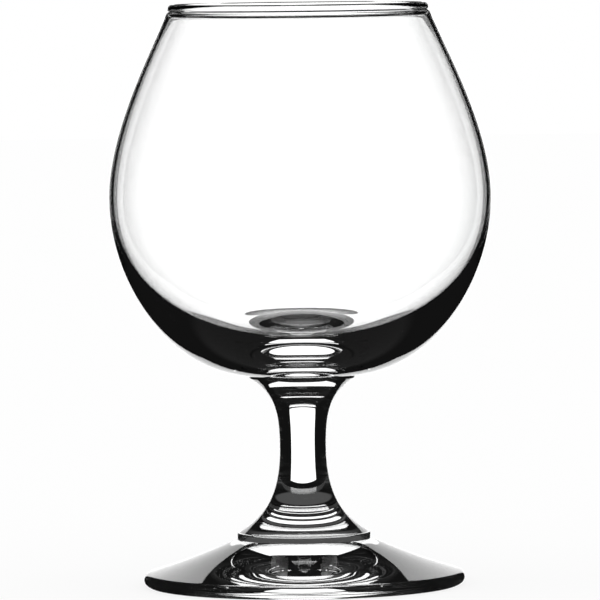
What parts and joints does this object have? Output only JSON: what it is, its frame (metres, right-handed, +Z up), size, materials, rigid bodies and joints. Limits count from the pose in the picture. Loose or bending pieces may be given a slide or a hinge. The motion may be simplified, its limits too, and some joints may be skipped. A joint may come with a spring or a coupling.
{
  "type": "brandy snifter",
  "caption": "Footed brandy glass with a wide round bowl drawn in at the mouth, a short waisted stem and a sloping round foot.",
  "frame": {"origin": "middle of the plane that the foot rests on", "axes": "+Z up the glass's axis of turning, from the foot to the rim; +X and +Y are alike, because the glass is round"},
  "size_m": [0.08, 0.08, 0.1218],
  "materials": {
    "blown_glass": "clear, fire-polished",
    "pressed_glass": "clear, pressed and fire-polished"
  },
  "bodies": {
    "root": {"bowl": "blown_glass", "stem": "pressed_glass", "foot": "pressed_glass"}
  },
  "joints": []
}
